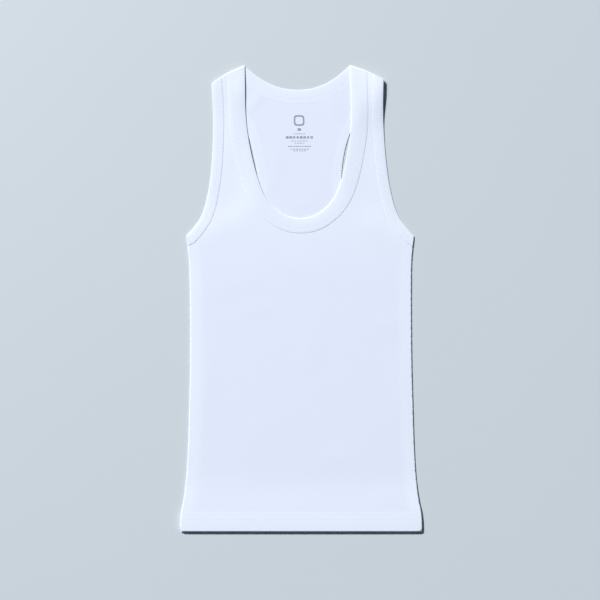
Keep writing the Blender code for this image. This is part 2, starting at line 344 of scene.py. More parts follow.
# One stitch: where along it, how far its middle stands off the cloth and how thick it is, both
# as shares of the thread's radius.
Ring = namedtuple("Ring", "share rise thickness")
STITCH = (
    Ring(0.0, -1.3, 0.5),
    Ring(0.14, -0.56, 0.9),
    Ring(0.5, -0.4, 1.0),
    Ring(0.86, -0.56, 0.9),
    Ring(1.0, -1.3, 0.5),
)
STITCH_REACH = 0.86  # how much of the pitch a stitch covers
THREAD_SIDES = 5
STRAND_TURNS = 5.0  # twists of the strand to one stitch
ROW_END = 1.5
AHEAD = 0.1  # a row's direction is read over this much to each side
HEM_NEEDLE_ROWS = (21.8, 15.5)

# What each piece was cut to. A binding's cut is the part of its folded strip that shows.
Cut = namedtuple("Cut", "width length area carries")
SHEETS = {
    "back_panel": Cut(311.0, 582.0, 129400.0, ("back_stitching", "neck_print")),
    "front_panel": Cut(311.0, 600.6, 121800.0, ("front_stitching",)),
    "back_neck_band": Cut(17.5, 176.0, None, ()),
    "back_armhole_band_left": Cut(13.4, 285.0, None, ()),
    "back_armhole_band_right": Cut(13.4, 290.0, None, ()),
    "front_neck_band": Cut(20.4, 482.0, None, ()),
    "front_armhole_band_left": Cut(13.4, 219.0, None, ()),
    "front_armhole_band_right": Cut(13.4, 223.0, None, ()),
}

SHARP_ABOVE = np.radians(52)  # cut edges stay crisp, folds and creases stay smooth
CLOTH_NAME = "_cloth"  # what a piece's name adds to the name of the node that it replaces
# Painted shade: how much the base colour darkens in the grooves between the ribs, on the panels and
# on the bindings.
BODY_GROOVE_PAINTED_SHADE = 0.03
BINDING_GROOVE_PAINTED_SHADE = 0.05

# The stage, in metres.
FLOOR_HALF = 4.0
FLOOR_DROP = 0.00002  # the floor's face lies this far below the part
KEY_FROM = (-1.0, 1.33, 1.0)
KEY_SPREAD = 1.6
KEY_COLOUR = (0.894, 0.938, 1.0)
SIDE_FROM = (-1.38, 1.32, 1.15)
SIDE_SIZE = 0.9
SKY_COLOUR = (0.66, 0.84, 1.12, 1.0)
CAMERA_LENS = 100.0
CAMERA_SENSOR = 36.0
CAMERA_ASIDE = (-0.0016, -0.0022)


# ---------------------------------------------------------------- what a user would change

class TankSizes(bpy.types.PropertyGroup):
    rib_pitch: FloatProperty(
        name="Rib pitch", description="Width of one rib and its groove",
        default=2.4 * MM, min=1.0 * MM, max=6.0 * MM, precision=5, unit="LENGTH")
    rib_depth: FloatProperty(
        name="Rib depth", description="Depth of the grooves between the ribs",
        default=0.08 * MM, min=0.0, max=0.5 * MM, precision=5, unit="LENGTH")
    band_rib_depth: FloatProperty(
        name="Binding rib depth", description="Depth of the grooves across the bindings",
        default=0.13 * MM, min=0.0, max=0.5 * MM, precision=5, unit="LENGTH")
    stitch_length: FloatProperty(
        name="Stitch length", description="Length of one stitch",
        default=2.7 * MM, min=1.0 * MM, max=6.0 * MM, precision=5, unit="LENGTH")
    thread_width: FloatProperty(
        name="Thread width", description="Diameter of the sewing thread",
        default=0.36 * MM, min=0.1 * MM, max=1.0 * MM, precision=5, unit="LENGTH")
    creases: FloatProperty(
        name="Creases", description="Strength of the soft ridges in the cloth",
        default=1.0, min=0.0, max=2.0, subtype="FACTOR")


class TankColours(bpy.types.PropertyGroup):
    thin_cloth: FloatVectorProperty(
        name="Single cloth", description="Colour where the rib lies single",
        default=(0.835, 0.855, 0.935), size=3, min=0.0, max=1.0, subtype="COLOR")
    thick_cloth: FloatVectorProperty(
        name="Doubled cloth", description="Colour of hems, seams and bindings",
        default=(0.873, 0.893, 0.965), size=3, min=0.0, max=1.0, subtype="COLOR")
    thread: FloatVectorProperty(
        name="Thread", description="Colour of the sewing thread",
        default=(0.873, 0.893, 0.965), size=3, min=0.0, max=1.0, subtype="COLOR")
    ink: FloatVectorProperty(
        name="Ink", description="Colour of the print inside the back neck",
        default=(0.30, 0.33, 0.39), size=3, min=0.0, max=1.0, subtype="COLOR")
    floor: FloatVectorProperty(
        name="Floor", description="Colour of the floor",
        default=(0.655, 0.690, 0.695), size=3, min=0.0, max=1.0, subtype="COLOR")


class TankStage(bpy.types.PropertyGroup):
    key_strength: FloatProperty(
        name="Key light", description="Strength of the firm light from the upper left",
        default=4.9, min=0.0, max=20.0)
    side_power: FloatProperty(
        name="Side light", description="Power of the broad panel at the upper left",
        default=12.5, min=0.0, max=200.0, unit="POWER")
    sky_strength: FloatProperty(
        name="Sky", description="Strength of the soft light from all round",
        default=0.088, min=0.0, max=2.0)
    view_width: FloatProperty(
        name="View width", description="Width of the floor that the camera sees",
        default=0.774, min=0.1, max=3.0, unit="LENGTH")


# ---------------------------------------------------------------- paths in the cut

def lengths_along(path):
    steps = np.linalg.norm(np.diff(path, axis=0), axis=1)
    return np.concatenate([[0.0], np.cumsum(steps)])


def on_path(path, at):
    """The points of a path at these lengths along it."""
    along = lengths_along(path)
    return np.stack([np.interp(at, along, path[:, k]) for k in (0, 1)], axis=1)


def evenly(path, step):
    """The path again, with its points about a step apart."""
    whole = lengths_along(path)[-1]
    return on_path(path, np.linspace(0.0, whole, max(2, round(whole / step) + 1)))


def smooth(stations, per_span=24):
    """A Catmull-Rom curve through the stations."""
    points = np.array(stations, float)
    knots = np.vstack([2 * points[0] - points[1], points, 2 * points[-1] - points[-2]])
    share = np.linspace(0.0, 1.0, per_span, endpoint=False)[:, None]
    spans = []
    for a, b, c, d in zip(knots, knots[1:], knots[2:], knots[3:]):
        cubic = 3 * b - a - 3 * c + d
        square = 2 * a - 5 * b + 4 * c - d
        spans.append(0.5 * (2 * b + (c - a) * share + square * share**2 + cubic * share**3))
    return np.vstack(spans + [points[-1:]])


def moved(path, distance):
    """The path moved sideways, to the left of its direction."""
    ahead = np.gradient(path, axis=0)
    ahead /= np.linalg.norm(ahead, axis=1)[:, None]
    left = np.stack([-ahead[:, 1], ahead[:, 0]], axis=1)
    return path + left * np.reshape(distance, (-1, 1))


def mirrored(path):
    """The path on the other side of the centre line, run the other way."""
    return path[::-1] * (-1.0, 1.0)


def ease(share):
    """0 below 0, 1 above 1, and an S-shaped rise between."""
    share = np.clip(share, 0.0, 1.0)
    return share * share * (3 - 2 * share)


def shoulder_level(half, drop):
    out = np.clip((np.abs(half) - NECK_HALF) / (STRAP_END - NECK_HALF), 0.0, 2.0)
    return LENGTH - drop * out**SHOULDER_CURVE


def shoulder_cut(path, drop):
    """How far along a climbing path it meets the shoulder line."""
    along = lengths_along(path)
    over = path[:, 1] - shoulder_level(path[:, 0], drop)
    last = int(np.argmax(over > 0))
    share = over[last - 1] / (over[last - 1] - over[last])
    return along[last - 1] + share * (along[last] - along[last - 1])


def side_half(level):
    side = smooth(SIDE)
    return np.interp(level, side[:, 1], side[:, 0])


# ---------------------------------------------------------------- distances in the cut

def in_chunks(points, measure, size=2000):
    if not len(points):
        return np.zeros(0)
    return np.concatenate([measure(points[i:i + size]) for i in range(0, len(points), size)])


def distance_to(points, path):
    """How far each point is from the path."""
    start, run = path[:-1], np.diff(path, axis=0)
    size = np.maximum((run**2).sum(axis=1), TINY)

    def measure(some):
        away = some[:, None] - start
        share = np.clip((away * run).sum(axis=2) / size, 0.0, 1.0)
        gap = away - share[:, :, None] * run
        return np.sqrt((gap**2).sum(axis=2).min(axis=1))

    return in_chunks(points, measure)


def distance_near(points, path, reach):
    """As distance_to, for points within reach of the path, and a large number for the rest."""
    coarse = evenly(path, reach)
    rough = in_chunks(points, lambda some: np.sqrt(
        ((some[:, None] - coarse) ** 2).sum(axis=2).min(axis=1)))
    found = np.full(len(points), FAR)
    near = rough < 1.6 * reach
    found[near] = distance_to(points[near], path)
    return found


def is_inside(points, outline):
    """Whether each point is inside the closed outline."""
    after = np.roll(outline, -1, axis=0)
    rise = after[:, 1] - outline[:, 1]
    rise = np.where(np.abs(rise) < TINY, TINY, rise)
    lean = (after[:, 0] - outline[:, 0]) / rise

    def measure(some):
        x, y = some[:, 0][:, None], some[:, 1][:, None]
        spans = (outline[:, 1] > y) != (after[:, 1] > y)
        return (spans & (x < outline[:, 0] + (y - outline[:, 1]) * lean)).sum(axis=1) % 2 == 1

    return in_chunks(points, measure).astype(bool)


# ---------------------------------------------------------------- bindings in the cut

class Binding:
    """Matching points along a binding's seam and its folded edge, from end to end.

    `seam` and `edge` are paired paths, and `seam_run` and `edge_run` are where each of them
    starts and stops. Near the ends the pairs fan out, so that both lines reach the end seam.
    """

    def __init__(self, seam, edge, seam_run, edge_run, step):
        count = round((seam_run[1] - seam_run[0]) / step)
        at = np.linspace(seam_run[0], seam_run[1], count + 1)
        matched = np.interp(at, lengths_along(seam), lengths_along(edge))
        for run, goal in ((at - at[0], edge_run[0]), (at[-1] - at, edge_run[1])):
            reached = matched[np.argmin(np.abs(run - FAN))]
            straight = goal + (reached - goal) * run / FAN
            share = ease(run / FAN)
            matched = straight * (1 - share) + matched * share
        self.seam, self.edge = on_path(seam, at), on_path(edge, matched)

    def mirrored(self):
        twin = object.__new__(Binding)
        twin.seam, twin.edge = mirrored(self.seam), mirrored(self.edge)
        return twin

    def width(self):
        return np.linalg.norm(self.edge - self.seam, axis=1)

    def at(self, from_seam):
        """The points this far in from the seam, towards the fold."""
        return self.seam + (self.edge - self.seam) * np.reshape(from_seam / self.width(), (-1, 1))

    def from_ends(self):
        along = lengths_along(self.seam)
        return np.minimum(along, along[-1] - along)


def armhole(stations, drop, step):
    """A right armhole binding, from the underarm to the shoulder."""
    edge = smooth(stations)
    seam = moved(edge, ARMHOLE_BAND)
    kept = np.flatnonzero(seam[:, 0] < side_half(UNDERARM_SEAM) - UNDERARM_RUN)
    seam = np.vstack([[[side_half(UNDERARM_SEAM), UNDERARM_SEAM]], seam[kept]])
    edge = np.vstack([edge[:1], edge[kept]])
    seam_run, edge_run = ((0.0, shoulder_cut(line, drop)) for line in (seam, edge))
    return Binding(seam, edge, seam_run, edge_run, step)


def neck(seam, edge, step):
    """A whole neck binding from its right half, from the left shoulder to the right."""
    runs = []
    for path in (seam, edge):
        whole = lengths_along(path)[-1]
        runs.append((whole - shoulder_cut(path, DROP_LEFT), whole + shoulder_cut(path, DROP_RIGHT)))
    whole_seam = np.vstack([mirrored(seam), seam[1:]])
    whole_edge = np.vstack([mirrored(edge), edge[1:]])
    return Binding(whole_seam, whole_edge, runs[0], runs[1], step)


def front_neck(step):
    below = FRONT_NECK_SEAM[1]
    seam = smooth((Station(-below.half, below.level), *FRONT_NECK_SEAM))
    seam = seam[seam[:, 0] >= 0]
    rise = (seam[:, 1] - seam[0, 1]) / NECK_BAND_RISE
    edge = moved(seam, NECK_BAND + NECK_BAND_EASE * ease(rise))
    edge[0, 0] = 0.0
    binding = neck(seam, edge, step)
    binding.seam[:, 0] += NECK_ASIDE
    binding.edge[:, 0] += NECK_ASIDE
    return binding


def back_neck(step):
    """The back neck dips in one even curve between the shoulder points."""
    half = np.linspace(0.0, NECK_HALF * 1.2, 80)
    rise = (LENGTH - BACK_NECK_LEVEL) * (half / NECK_HALF) ** BACK_NECK_CURVE
    edge = np.stack([half, BACK_NECK_LEVEL + rise], axis=1)
    seam = moved(edge, -BACK_NECK_BAND)
    seam[0, 0] = 0.0
    return neck(seam, edge, step)


class Layer:
    """One side of the garment: its three bindings, and the outline of its panel."""

    def __init__(self, neck_binding, armhole_stations, step):
        self.neck = neck_binding
        self.right = armhole(armhole_stations, DROP_RIGHT, step)
        self.left = armhole(armhole_stations, DROP_LEFT, step).mirrored()
        self.bindings = {
            "neck_band": self.neck,
            "armhole_band_right": self.right,
            "armhole_band_left": self.left,
        }
        self.whole = self.outline("edge", UNDERARM_EDGE, 0.0)
        self.panel = self.outline("seam", UNDERARM_SEAM, SEAM_GAP)

    def outline(self, line, top, shy):
        """A closed outline, counter-clockwise, that runs just short of these lines of the bindings.
        It leaves behind the edges that no binding covers."""
        across = evenly(moved(getattr(self.neck, line), -shy), OUTLINE_STEP)
        right = evenly(moved(getattr(self.right, line), shy), OUTLINE_STEP)
        left = evenly(moved(getattr(self.left, line), shy), OUTLINE_STEP)
        levels = np.linspace(0.0, top - shy, round(top / OUTLINE_STEP / 2))
        side = np.stack([side_half(levels), levels], axis=1)
        halves = np.linspace(-HEM_HALF, HEM_HALF, round(HEM_HALF / OUTLINE_STEP))
        hem = np.stack([halves, np.zeros_like(halves)], axis=1)
        right[0] = side[-1]
        left[-1] = side[-1] * (-1.0, 1.0)
        shoulder_right = self.shoulder(right[-1], across[-1], DROP_RIGHT)
        shoulder_left = self.shoulder(across[0], left[0], DROP_LEFT)
        self.sides = [side, mirrored(side), shoulder_right, shoulder_left]
        self.hem = hem
        return np.vstack([
            hem[1:-1], side[:-1], right, shoulder_right[1:-1], across[::-1],
            shoulder_left[1:-1], left, mirrored(side[:-1]),
        ])

    @staticmethod
    def shoulder(start, end, drop):
        count = max(3, round(abs(start[0] - end[0]) / OUTLINE_STEP))
        half = np.linspace(start[0], end[0], count)
        line = np.stack([half, shoulder_level(half, drop)], axis=1)
        line[0], line[-1] = start, end
        return line


# ---------------------------------------------------------------- heights

class Heights:
    """Heights on the lattice, read smoothly between its points."""

    def __init__(self, values):
        self.values = values.reshape(LATTICE_COUNT)

    def at(self, points):
        place = (points - LATTICE_LOW) / LATTICE
        place = np.clip(place, 1.0, np.array(LATTICE_COUNT) - 3.001)
        cell = np.floor(place).astype(int)
        weights = []
        for share in (place - cell).T:
            weights.append((
                (1 - share) ** 3 / 6,
                (3 * share**3 - 6 * share**2 + 4) / 6,
                (-3 * share**3 + 3 * share**2 + 3 * share + 1) / 6,
                share**3 / 6,
            ))
        total = np.zeros(len(points))
        for i in range(4):
            for j in range(4):
                found = self.values[cell[:, 0] + i - 1, cell[:, 1] + j - 1]
                total += weights[0][i] * weights[1][j] * found
        return total


def lattice_points():
    half = LATTICE_LOW[0] + LATTICE * np.arange(LATTICE_COUNT[0])
    level = LATTICE_LOW[1] + LATTICE * np.arange(LATTICE_COUNT[1])
    return np.stack(np.meshgrid(half, level, indexing="ij"), axis=2).reshape(-1, 2)


def shifted(values, i, j):
    """The lattice seen from one cell away, with its rim repeated."""
    padded = np.pad(values, 1, mode="edge")
    return padded[1 + i:1 + i + values.shape[0], 1 + j:1 + j + values.shape[1]]


def draped(values):
    """The lowest surface on or above these heights that is nowhere steeper than the drape."""
    for _ in range(DRAPE_PASSES):
        for i, j in ((1, 0), (-1, 0), (0, 1), (0, -1), (1, 1), (-1, -1), (1, -1), (-1, 1)):
            fall = DRAPE_SLOPE * LATTICE * (i * i + j * j) ** 0.5
            values = np.maximum(values, shifted(values, i, j) - fall)
    return values


def softened(values):
    for _ in range(SOFTEN_PASSES):
        near = sum(shifted(values, i, j) for i, j in ((1, 0), (-1, 0), (0, 1), (0, -1)))
        values = 0.5 * values + 0.125 * near
    return values


def ridged(points, ridges):
    """The height of the listed soft ridges."""
    total = np.zeros(len(points))
    for ridge in ridges:
        turn = np.radians(ridge.turn)
        away = points - (ridge.half, ridge.level)
        along = (away[:, 0] * np.sin(turn) + away[:, 1] * np.cos(turn)) / ridge.length
        across = away[:, 0] * np.cos(turn) - away[:, 1] * np.sin(turn)
        across += RIDGE_BOW * ridge.length * along**2
        fade = np.clip(1 - (2 * along) ** 2, 0.0, 1.0) ** 1.5
        total += ridge.height * fade * np.exp(-((across / ridge.width) ** 2))
    return total


def lifted(points, lifts):
    total = np.zeros(len(points))
    for lift in lifts:
        away = (points - (lift.half, lift.level)) / (lift.reach_half, lift.reach_level)
        total += lift.height * np.exp(-(away**2).sum(axis=1))
    return total


def hem_layer(points, reach=0.0):
    """What the turned-up hem adds."""
    return np.where(points[:, 1] < HEM + reach, HEM_LAYER, 0.0)


Garment = namedtuple("Garment", "back front back_low back_top front_top")


@lru_cache(maxsize=1)
def garment(pitch, creases):
    """Both layers, and the heights of the faces that show."""
    step = pitch / COLUMNS_PER_RIB
    back = Layer(back_neck(step), BACK_ARMHOLE, step)
    front = Layer(front_neck(step), FRONT_ARMHOLE, step)
    points = lattice_points()
    low = FLOOR_GAP + lifted(points, RISES)
    ridges = creases * ridged(points, BACK_RIDGES)
    top = low + CLOTH + hem_layer(points) + ridges
    edges = [binding.edge for binding in back.bindings.values()]
    to_edge = np.min([distance_near(points, edge, BACK_NECK_BAND) for edge in edges], axis=0)
    over_band = np.where(to_edge < BACK_NECK_BAND, BACK_BAND - CLOTH, 0.0)
    closed = np.vstack([back.whole, back.whole[:1]])
    away = distance_near(points, closed, 2 * LATTICE)
    covered = is_inside(points, back.whole) | (away < LATTICE)
    support = np.where(covered, top + over_band, 0.0)
    base = support + REST_GAP + CLOTH + hem_layer(points, LATTICE)
    settled = softened(draped(base.reshape(LATTICE_COUNT))).reshape(-1)
    front_top = settled + lifted(points, LOFTS) + creases * ridged(points, FRONT_RIDGES)
    return Garment(back, front, Heights(low), Heights(top), Heights(front_top))


def garment_of(sizes):
    return garment(sizes.rib_pitch / MM, sizes.creases)


# ---------------------------------------------------------------- meshes

def laid(points, heights):
    """Points of the cut, placed on the floor, in metres."""
    half = points[:, 0] - LEAN * (points[:, 1] / LENGTH) ** 3
    level = points[:, 1] - LENGTH / 2
    return np.stack([half, level, heights], axis=1) * MM


def add_piece(name, vertices, faces, material, node=None, attributes=()):
    """A smooth-shaded mesh that rides on the part's one body."""
    mesh = bpy.data.meshes.new(name)
    mesh.from_pydata(vertices.tolist(), [], faces)
    if mesh.validate():
        raise RuntimeError(name + " has faces that don't hold together")
    shape = bmesh.new()
    shape.from_mesh(mesh)
    bmesh.ops.recalc_face_normals(shape, faces=shape.faces)
    shape.to_mesh(mesh)
    shape.free()
    mesh.shade_smooth()
    mesh.set_sharp_from_angle(angle=SHARP_ABOVE)
    mesh.materials.append(material)
    for label, values in dict(attributes).items():
        kind, field = ("FLOAT", "value") if values.ndim == 1 else ("FLOAT_VECTOR", "vector")
        layer = mesh.attributes.new(label, kind, "POINT")
        layer.data.foreach_set(field, values.astype(np.float32).ravel())
    piece = bpy.data.objects.new(name, mesh)
    bpy.context.scene.collection.objects.link(piece)
    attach(piece, "root")
    if node is not None:
        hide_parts(node)
    return piece


def rib_groove(ribs):
    """0 on the crest of each rib and 1 in the groove beside it."""
    return 1 - np.abs(np.cos(np.pi * ribs)) ** GROOVE_POWER


def fold_loss(distance, thickness):
    """How much thickness the cloth has lost at this distance from a soft fold."""
    share = np.clip(distance / FOLD_ROUND, 0.0, 1.0)
    return FOLD_SHARE * thickness * (1 - np.sqrt(1 - (1 - share) ** 2))


# ---------------------------------------------------------------- panels

def triangulated(outline, inner):
    """The outline filled with triangles through the inner points. The outline comes first."""
    flat = np.vstack([outline, inner])
    count = len(outline)
    edges = [(i, (i + 1) % count) for i in range(count)]
    found = delaunay_2d_cdt([Vector(p) for p in flat], edges, [], 1, 1e-6)
    points = np.array([tuple(p) for p in found[0]])
    if len(points) < count or np.abs(points[:count] - outline).max() > 1e-3:
        raise RuntimeError("the outline of a panel touches itself")
    return points, [tuple(face) for face in found[2]]


def edge_rings(layer):
    """Rows of points close inside the edges that no binding covers, in step with the outline."""
    rows = []
    for edge in [layer.hem] + layer.sides:
        for gap in EDGE_RINGS:
            rows.append(moved(edge, gap)[1:-1])
    points = np.vstack(rows)
    points = points[is_inside(points, layer.panel)]
    closed = np.vstack([layer.panel, layer.panel[:1]])
    return points[distance_to(points, closed) > EDGE_RINGS[0] * RING_KEPT]


def rows_in(layer, column_step, row_step, clear):
    """Points in straight columns inside a panel, clear of its edges and their rings."""
    low, high = layer.panel.min(axis=0), layer.panel.max(axis=0)
    columns = np.arange(np.ceil(low[0] / column_step), high[0] / column_step) * column_step
    levels = np.arange(low[1] + row_step / 2, high[1], row_step)
    points = np.stack(np.meshgrid(columns, levels, indexing="ij"), axis=2)
    points[1::2, :, 1] += row_step / 4
    points = points.reshape(-1, 2)
    points = points[is_inside(points, layer.panel)]
    closed = np.vstack([layer.panel, layer.panel[:1]])
    points = points[distance_near(points, closed, max(clear, PLAIN_CLEAR)) > clear]
    for edge in [layer.hem] + layer.sides:
        points = points[distance_near(points, edge, EDGE_SEARCH) > EDGE_RINGS[-1] + RING_CLEAR]
    return points


def points_in(layer, pitch):
    """Points inside a panel: rings at its edges, fine columns on its ribs, and a plain grid."""
    fine = rows_in(layer, pitch / COLUMNS_PER_RIB, ROW_STEP, FINE_CLEAR)
    plain = rows_in(layer, PLAIN_STEP, PLAIN_STEP, PLAIN_CLEAR)
    return edge_rings(layer), fine, plain


class PanelShape:
    """How a panel's faces bend at its edges, and where its knit runs."""

    def __init__(self, layer, points, pitch):
        self.points = points
        self.ribs = points[:, 0] / pitch
        self.thickness = CLOTH + hem_layer(points)
        near = [distance_near(points, edge, EDGE_SEARCH) for edge in layer.sides]
        self.side_loss = fold_loss(np.min(near, axis=0), self.thickness)
        to_hem = distance_near(points, layer.hem, EDGE_SEARCH)
        self.hem_loss = fold_loss(to_hem, self.thickness) / 2
        to_seam = np.min([
            distance_near(points, binding.seam, SEAM_SEARCH) for binding in layer.bindings.values()
        ], axis=0)
        self.dip = SEAM_DIP * np.exp(-((to_seam / SEAM_REACH) ** 2))

    def knit(self, plain):
        """Ribs across, rows of loops along, and the share of the ribs left to the finish."""
        plain = np.broadcast_to(plain, self.ribs.shape).astype(float)
        return np.stack([self.ribs, self.points[:, 1] / KNIT_ROW, plain], axis=1)


def backing_of(points, chest):
    """How much of another layer, seam or hem lies close behind the cloth and whitens it."""
    hem = 1 - ease((points[:, 1] - HEM) / HEM_FADE)
    side = side_half(points[:, 1]) - np.abs(points[:, 0])
    beside = 1 - ease((side - SIDE_BACKED) / SIDE_FADE)
    over_back = chest * ease((points[:, 1] - CHEST_FROM) / CHEST_FADE)
    return np.maximum.reduce([hem, beside, over_back])


PanelFace = namedtuple("PanelFace", "points faces heights knit")


def sewn(top, under, count):
    """The faces of both sides, and of the wall that joins the outline that they share."""
    shift = len(top.points)
    faces = list(top.faces)
    faces += [(c + shift, b + shift, a + shift) for a, b, c in under.faces]
    for i in range(count):
        after = (i + 1) % count
        faces.append((after, i, i + shift, after + shift))
    return faces


def add_panel(name, layer, top, under, chest, material):
    sides = (top, under)
    vertices = np.vstack([laid(side.points, side.heights) for side in sides])
    attributes = {
        "knit": np.vstack([side.knit for side in sides]),
        "backing": np.concatenate([backing_of(side.points, chest) for side in sides]),
    }
    faces = sewn(top, under, len(layer.panel))
    return add_piece(name + CLOTH_NAME, vertices, faces, material, name, attributes)


def build_front_panel(sizes, material):
    """The front settles on the back. Its ribs are real on its outer face."""
    cut, pitch = garment_of(sizes), sizes.rib_pitch / MM
    layer = cut.front
    rings, fine, plain = points_in(layer, pitch)
    top = triangulated(layer.panel, np.vstack([rings, fine]))
    under = triangulated(layer.panel, np.vstack([rings, plain]))
    over, below = (PanelShape(layer, face[0], pitch) for face in (top, under))
    grooves = sizes.rib_depth / MM * rib_groove(over.ribs)
    high = cut.front_top.at(top[0]) - over.side_loss - over.hem_loss - over.dip - grooves
    low = cut.front_top.at(under[0]) - below.thickness + below.hem_loss - 0.5 * below.dip
    outer = PanelFace(*top, high, over.knit(False))
    inner = PanelFace(*under, low, below.knit(True))
    return add_panel("front_panel", layer, outer, inner, FRONT_CHEST, material)


def build_back_panel(sizes, material):
    """The back lies on the floor. Its ribs are real outside, and inside where the neck shows it."""
    cut, pitch = garment_of(sizes), sizes.rib_pitch / MM
    layer = cut.back
    rings, fine, plain = points_in(layer, pitch)
    half, level = OPENING
    shows = (np.abs(fine[:, 0]) < half) & (fine[:, 1] > level)
    hidden = (np.abs(plain[:, 0]) > half + OPENING_CLEAR) | (plain[:, 1] < level - OPENING_CLEAR)
    top = triangulated(layer.panel, np.vstack([rings, fine[shows], plain[hidden]]))
    under = triangulated(layer.panel, np.vstack([rings, fine]))
    over, below = (PanelShape(layer, face[0], pitch) for face in (top, under))
    seen = (np.abs(top[0][:, 0]) < half) & (top[0][:, 1] > level)
    depth = sizes.rib_depth / MM
    high = cut.back_top.at(top[0]) - over.hem_loss - over.dip * INNER_DIP / SEAM_DIP
    high -= depth * rib_groove(over.ribs) * seen
    low = cut.back_low.at(under[0]) + below.side_loss + below.hem_loss + below.dip
    low += depth * rib_groove(below.ribs)
    inner = PanelFace(*top, high, over.knit(~seen))
    outer = PanelFace(*under, low, below.knit(False))
    return add_panel("back_panel", layer, inner, outer, BACK_CHEST, material)


# ---------------------------------------------------------------- bindings

def up_to_fold(face, width):
    """A face's rims, from the seam to where the fold begins."""
    start, end = face[-1].from_seam, width - BAND_FOLD_REACH
    highest = face[-1].height - BAND_FACE[-1].height
    thinning = [
        Rim(start + (end - start) * crown.share, crown.height + highest * (1 - crown.share), 1.0)
        for crown in BAND_CROWN
    ]
    return list(face) + thinning


def section(width, over, below):
    """A binding's cross-section, from its seam over the top, round the fold and back below."""
    rims = up_to_fold(over, width)
    middle = rims[-1].height / 2
    for degrees in BAND_FOLD:
        turn = np.radians(degrees)
        out = width - BAND_FOLD_REACH * (1 - np.cos(turn))
        rims.append(Rim(out, middle * (1 + np.sin(turn)), BAND_FOLD_RIBS * np.sin(turn)))
    return rims + [Rim(rim.from_seam, UNDER_SHARE * (1 - rim.height), -rim.rib)
                   for rim in reversed(up_to_fold(below, width))]


def build_binding(name, binding, form, sizes, material):
    """A folded binding on its form: a base height, a thickness and two faces. At both ends it
    rounds off its top, or its underside."""
    rims = section(binding.width(), form.over, form.below)
    ribs = np.arange(len(binding.seam)) / COLUMNS_PER_RIB
    groove = rib_groove(ribs)
    depth = sizes.band_rib_depth / MM
    loss = fold_loss(binding.from_ends(), form.thickness)
    vertices, knit = [], []
    for rim in rims:
        out = np.broadcast_to(rim.from_seam, groove.shape)
        scallop = SCALLOP * groove * (out > binding.width() - BAND_FOLD_REACH)
        points = binding.at(out - scallop)
        ends = -rim.height if form.rounds_top else 1 - rim.height
        height = form.base(points) + form.thickness * rim.height - depth * rim.rib * groove
        vertices.append(laid(points, height + loss * ends))
        knit.append(np.stack([ribs, out / KNIT_ROW, np.zeros(len(ribs))], axis=1))
    around, stations = len(rims), len(ribs)
    faces = []
    for k in range(around):
        row, after = k * stations, (k + 1) % around * stations
        faces += [(row + i, after + i, after + i + 1, row + i + 1) for i in range(stations - 1)]
    faces.append(tuple(k * stations for k in reversed(range(around))))
    faces.append(tuple(k * stations + stations - 1 for k in range(around)))
    attributes = {"knit": np.vstack(knit), "backing": np.ones(around * stations)}
    vertices = np.vstack(vertices)
    return add_piece(name + CLOTH_NAME, vertices, faces, material, name, attributes)


BandForm = namedtuple("BandForm", "base thickness over below rounds_top")


def band_forms(cut):
    """How the bindings of the back and of the front lie."""
    def under_front(points):
        return cut.front_top.at(points) - CLOTH
    return {
        "back": BandForm(cut.back_low.at, BACK_BAND, INNER_FACE, BAND_FACE, False),
        "front": BandForm(under_front, BAND, BAND_FACE, HIDDEN_FACE, True),
    }


# ---------------------------------------------------------------- stitching

class Thread:
    """Short stitches along rows, gathered into one mesh."""

    def __init__(self, sizes):
        self.pitch = sizes.stitch_length / MM
        self.radius = sizes.thread_width / MM / 2
        self.vertices, self.strand, self.faces, self.count = [], [], [], 0

    def row(self, path, height, up):
        """One row. `height` gives the cloth's face at each point, and `up` is -1 below it."""
        whole = lengths_along(path)[-1]
        stitches = int((whole - 2 * ROW_END) / self.pitch)
        start = ROW_END + self.pitch * np.arange(stitches)[:, None]
        share = np.array([ring.share for ring in STITCH])
        at = (start + self.pitch * STITCH_REACH * share).ravel()
        points = on_path(path, at)
        ahead = on_path(path, at + AHEAD) - on_path(path, at - AHEAD)
        ahead /= np.linalg.norm(ahead, axis=1)[:, None]
        rise = np.tile([ring.rise for ring in STITCH], stitches) * self.radius
        thick = np.tile([ring.thickness for ring in STITCH], stitches) * self.radius
        centre = height(points) + up * rise
        turn = 2 * np.pi * np.arange(THREAD_SIDES) / THREAD_SIDES
        aside = thick[:, None] * np.cos(turn)
        x = points[:, 0][:, None] - ahead[:, 1][:, None] * aside
        y = points[:, 1][:, None] + ahead[:, 0][:, None] * aside
        z = centre[:, None] + thick[:, None] * np.sin(turn)
        flat = np.stack([x.ravel(), y.ravel()], axis=1)
        self.vertices.append(laid(flat, z.ravel()))
        self.strand.append((at[:, None] / self.pitch * STRAND_TURNS + turn / (2 * np.pi)).ravel())
        for stitch in range(stitches):
            self.faces += self.tube(self.count + stitch * len(STITCH) * THREAD_SIDES)
        self.count += stitches * len(STITCH) * THREAD_SIDES

    @staticmethod
    def tube(first):
        """The faces of one stitch, closed at both ends."""
        faces = [tuple(first + i for i in reversed(range(THREAD_SIDES)))]
        for k in range(len(STITCH) - 1):
            ring = first + k * THREAD_SIDES
            for i in range(THREAD_SIDES):
                j = (i + 1) % THREAD_SIDES
                faces.append((ring + i, ring + j, ring + j + THREAD_SIDES, ring + i + THREAD_SIDES))
        last = first + (len(STITCH) - 1) * THREAD_SIDES
        faces.append(tuple(last + i for i in range(THREAD_SIDES)))
        return faces

    def add(self, name, material):
        attributes = {"strand": np.concatenate(self.strand)}
        return add_piece(name, np.vstack(self.vertices), self.faces, material,
                         attributes=attributes)


def hem_lines(clear=5.0):
    """The two needle rows of a turned-up hem."""
    for level in HEM_NEEDLE_ROWS:
        end = side_half(level) - clear
        yield evenly(np.array([[-end, level], [end, level]]), PLAIN_STEP)


